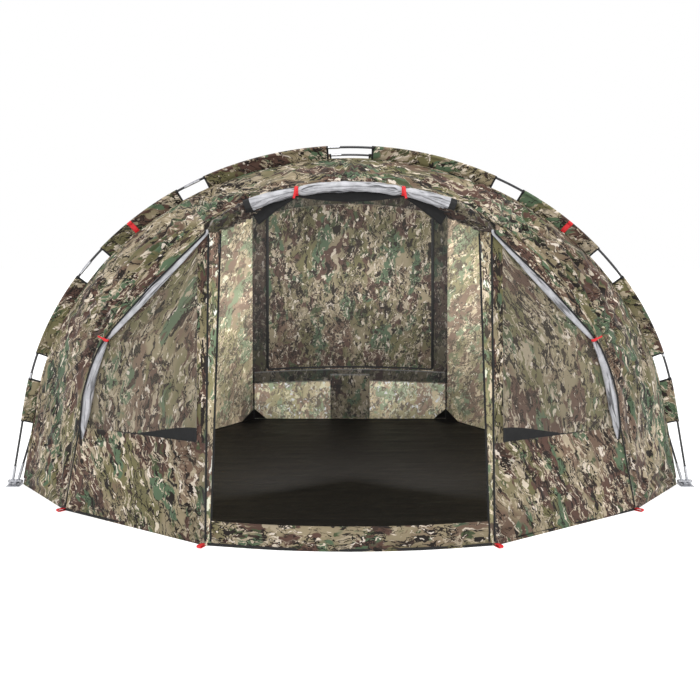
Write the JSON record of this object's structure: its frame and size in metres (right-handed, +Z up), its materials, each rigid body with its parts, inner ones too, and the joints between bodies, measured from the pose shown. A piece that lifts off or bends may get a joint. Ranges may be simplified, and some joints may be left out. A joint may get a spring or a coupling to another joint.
{
  "type": "two-arch shelter",
  "caption": "Large camouflage fishing and hide shelter on two ground-pivoted pole arches, with a roll-up door, mesh side windows, zipped back panel and groundsheet.",
  "frame": {"origin": "on the ground, at the middle of the shelter's box", "axes": "+X across the front, to the right of someone looking in at the door; +Y from the door to the back; +Z up"},
  "size_m": [4.0122, 3.1767, 1.9703],
  "materials": {
    "camo_fabric": "woven polyester with a printed woodland camouflage, matt",
    "sleeve_fabric": "woven polyester with a printed woodland camouflage, black bound ends",
    "camo_mesh": "fine see-through mesh with a printed camouflage",
    "coated_lining": "light grey coated reverse side of the cloth, soft sheen",
    "black_mesh": "fine black insect mesh",
    "groundsheet": "dark laminated sheet with a dull gloss",
    "red_webbing": "woven red webbing",
    "zip_black": "black coil zip on woven tape",
    "slider_metal": "cast zip slider",
    "pole_fibreglass": "dark fibreglass tube, dull gloss",
    "bare_metal": "bare drawn metal",
    "elastic_cord": "elastic cord"
  },
  "bodies": {
    "shelter": {"hub_left": "bare_metal", "hub_right": "bare_metal", "hub_pins": "bare_metal", "groundsheet": "groundsheet", "peg_loops": "red_webbing", "roof": "camo_fabric", "hood": "camo_fabric", "wing_left": "camo_fabric", "wing_right": "camo_fabric", "side_wall_left": "camo_fabric", "side_wall_right": "camo_fabric", "post_left": "camo_fabric", "post_right": "camo_fabric", "sill": "camo_fabric", "header": "camo_fabric", "back_top": "camo_fabric", "back_border_left": "camo_fabric", "back_border_right": "camo_fabric", "back_panel": "camo_fabric", "back_lower": "camo_fabric", "back_side_left": "camo_fabric", "back_side_right": "camo_fabric", "window_mesh_left": "camo_mesh", "window_mesh_right": "camo_mesh", "door_roll": "coated_lining", "door_mesh_roll": "black_mesh", "door_ties": "red_webbing", "window_roll_left": "coated_lining", "window_roll_right": "coated_lining", "window_ties": "red_webbing", "zip_tapes": "zip_black", "back_zip": "zip_black"},
    "front_arch": {"front_sockets": "bare_metal", "front_pole_1": "pole_fibreglass", "front_pole_2": "pole_fibreglass", "front_pole_3": "pole_fibreglass", "front_pole_4": "pole_fibreglass", "front_pole_5": "pole_fibreglass", "front_pole_6": "pole_fibreglass", "front_pole_7": "pole_fibreglass", "front_pole_8": "pole_fibreglass", "front_ferrules": "bare_metal", "front_shock_cord": "elastic_cord", "front_sleeves": "sleeve_fabric"},
    "rear_arch": {"rear_sockets": "bare_metal", "rear_pole_1": "pole_fibreglass", "rear_pole_2": "pole_fibreglass", "rear_pole_3": "pole_fibreglass", "rear_pole_4": "pole_fibreglass", "rear_pole_5": "pole_fibreglass", "rear_pole_6": "pole_fibreglass", "rear_pole_7": "pole_fibreglass", "rear_pole_8": "pole_fibreglass", "rear_ferrules": "bare_metal", "rear_shock_cord": "elastic_cord", "rear_sleeves": "sleeve_fabric"},
    "door_slider_left": {"door_slider_left": "slider_metal"},
    "door_slider_right": {"door_slider_right": "slider_metal"},
    "back_slider_left": {"back_slider_left": "slider_metal"},
    "back_slider_right": {"back_slider_right": "slider_metal"}
  },
  "joints": [
    {"name": "front_fold", "type": "hinge", "parent": "shelter", "child": "front_arch", "pos_m": [0, -0.419, 0.022], "axis": [1, 0, 0], "range_deg": [-100, 0], "deforming": ["roof", "hood", "wing_left", "wing_right", "side_wall_left", "side_wall_right", "post_left", "post_right", "sill", "header", "back_top", "back_border_left", "back_border_right", "back_panel", "back_lower", "back_side_left", "back_side_right", "window_mesh_left", "window_mesh_right", "door_roll", "door_mesh_roll", "door_ties", "window_roll_left", "window_roll_right", "window_ties", "zip_tapes", "back_zip"]},
    {"name": "rear_fold", "type": "hinge", "parent": "shelter", "child": "rear_arch", "pos_m": [0, -0.419, 0.022], "axis": [1, 0, 0], "range_deg": [-80.5, 0]},
    {"name": "door_zip_left", "type": "slide", "parent": "shelter", "child": "door_slider_left", "axis": [-0.0052, -0.1917, -0.9814], "range_m": [0, 1.32]},
    {"name": "door_zip_right", "type": "slide", "parent": "shelter", "child": "door_slider_right", "axis": [0.0052, -0.1917, -0.9814], "range_m": [0, 1.32]},
    {"name": "back_zip_left", "type": "slide", "parent": "shelter", "child": "back_slider_left", "axis": [0.0593, -0.6838, 0.7272], "range_m": [0, 1.36]},
    {"name": "back_zip_right", "type": "slide", "parent": "shelter", "child": "back_slider_right", "axis": [-0.0593, -0.6838, 0.7272], "range_m": [0, 1.36]}
  ],
  "couplings": [
    {"joint": "rear_fold", "follows": "front_fold", "ratio": 0.805}
  ]
}
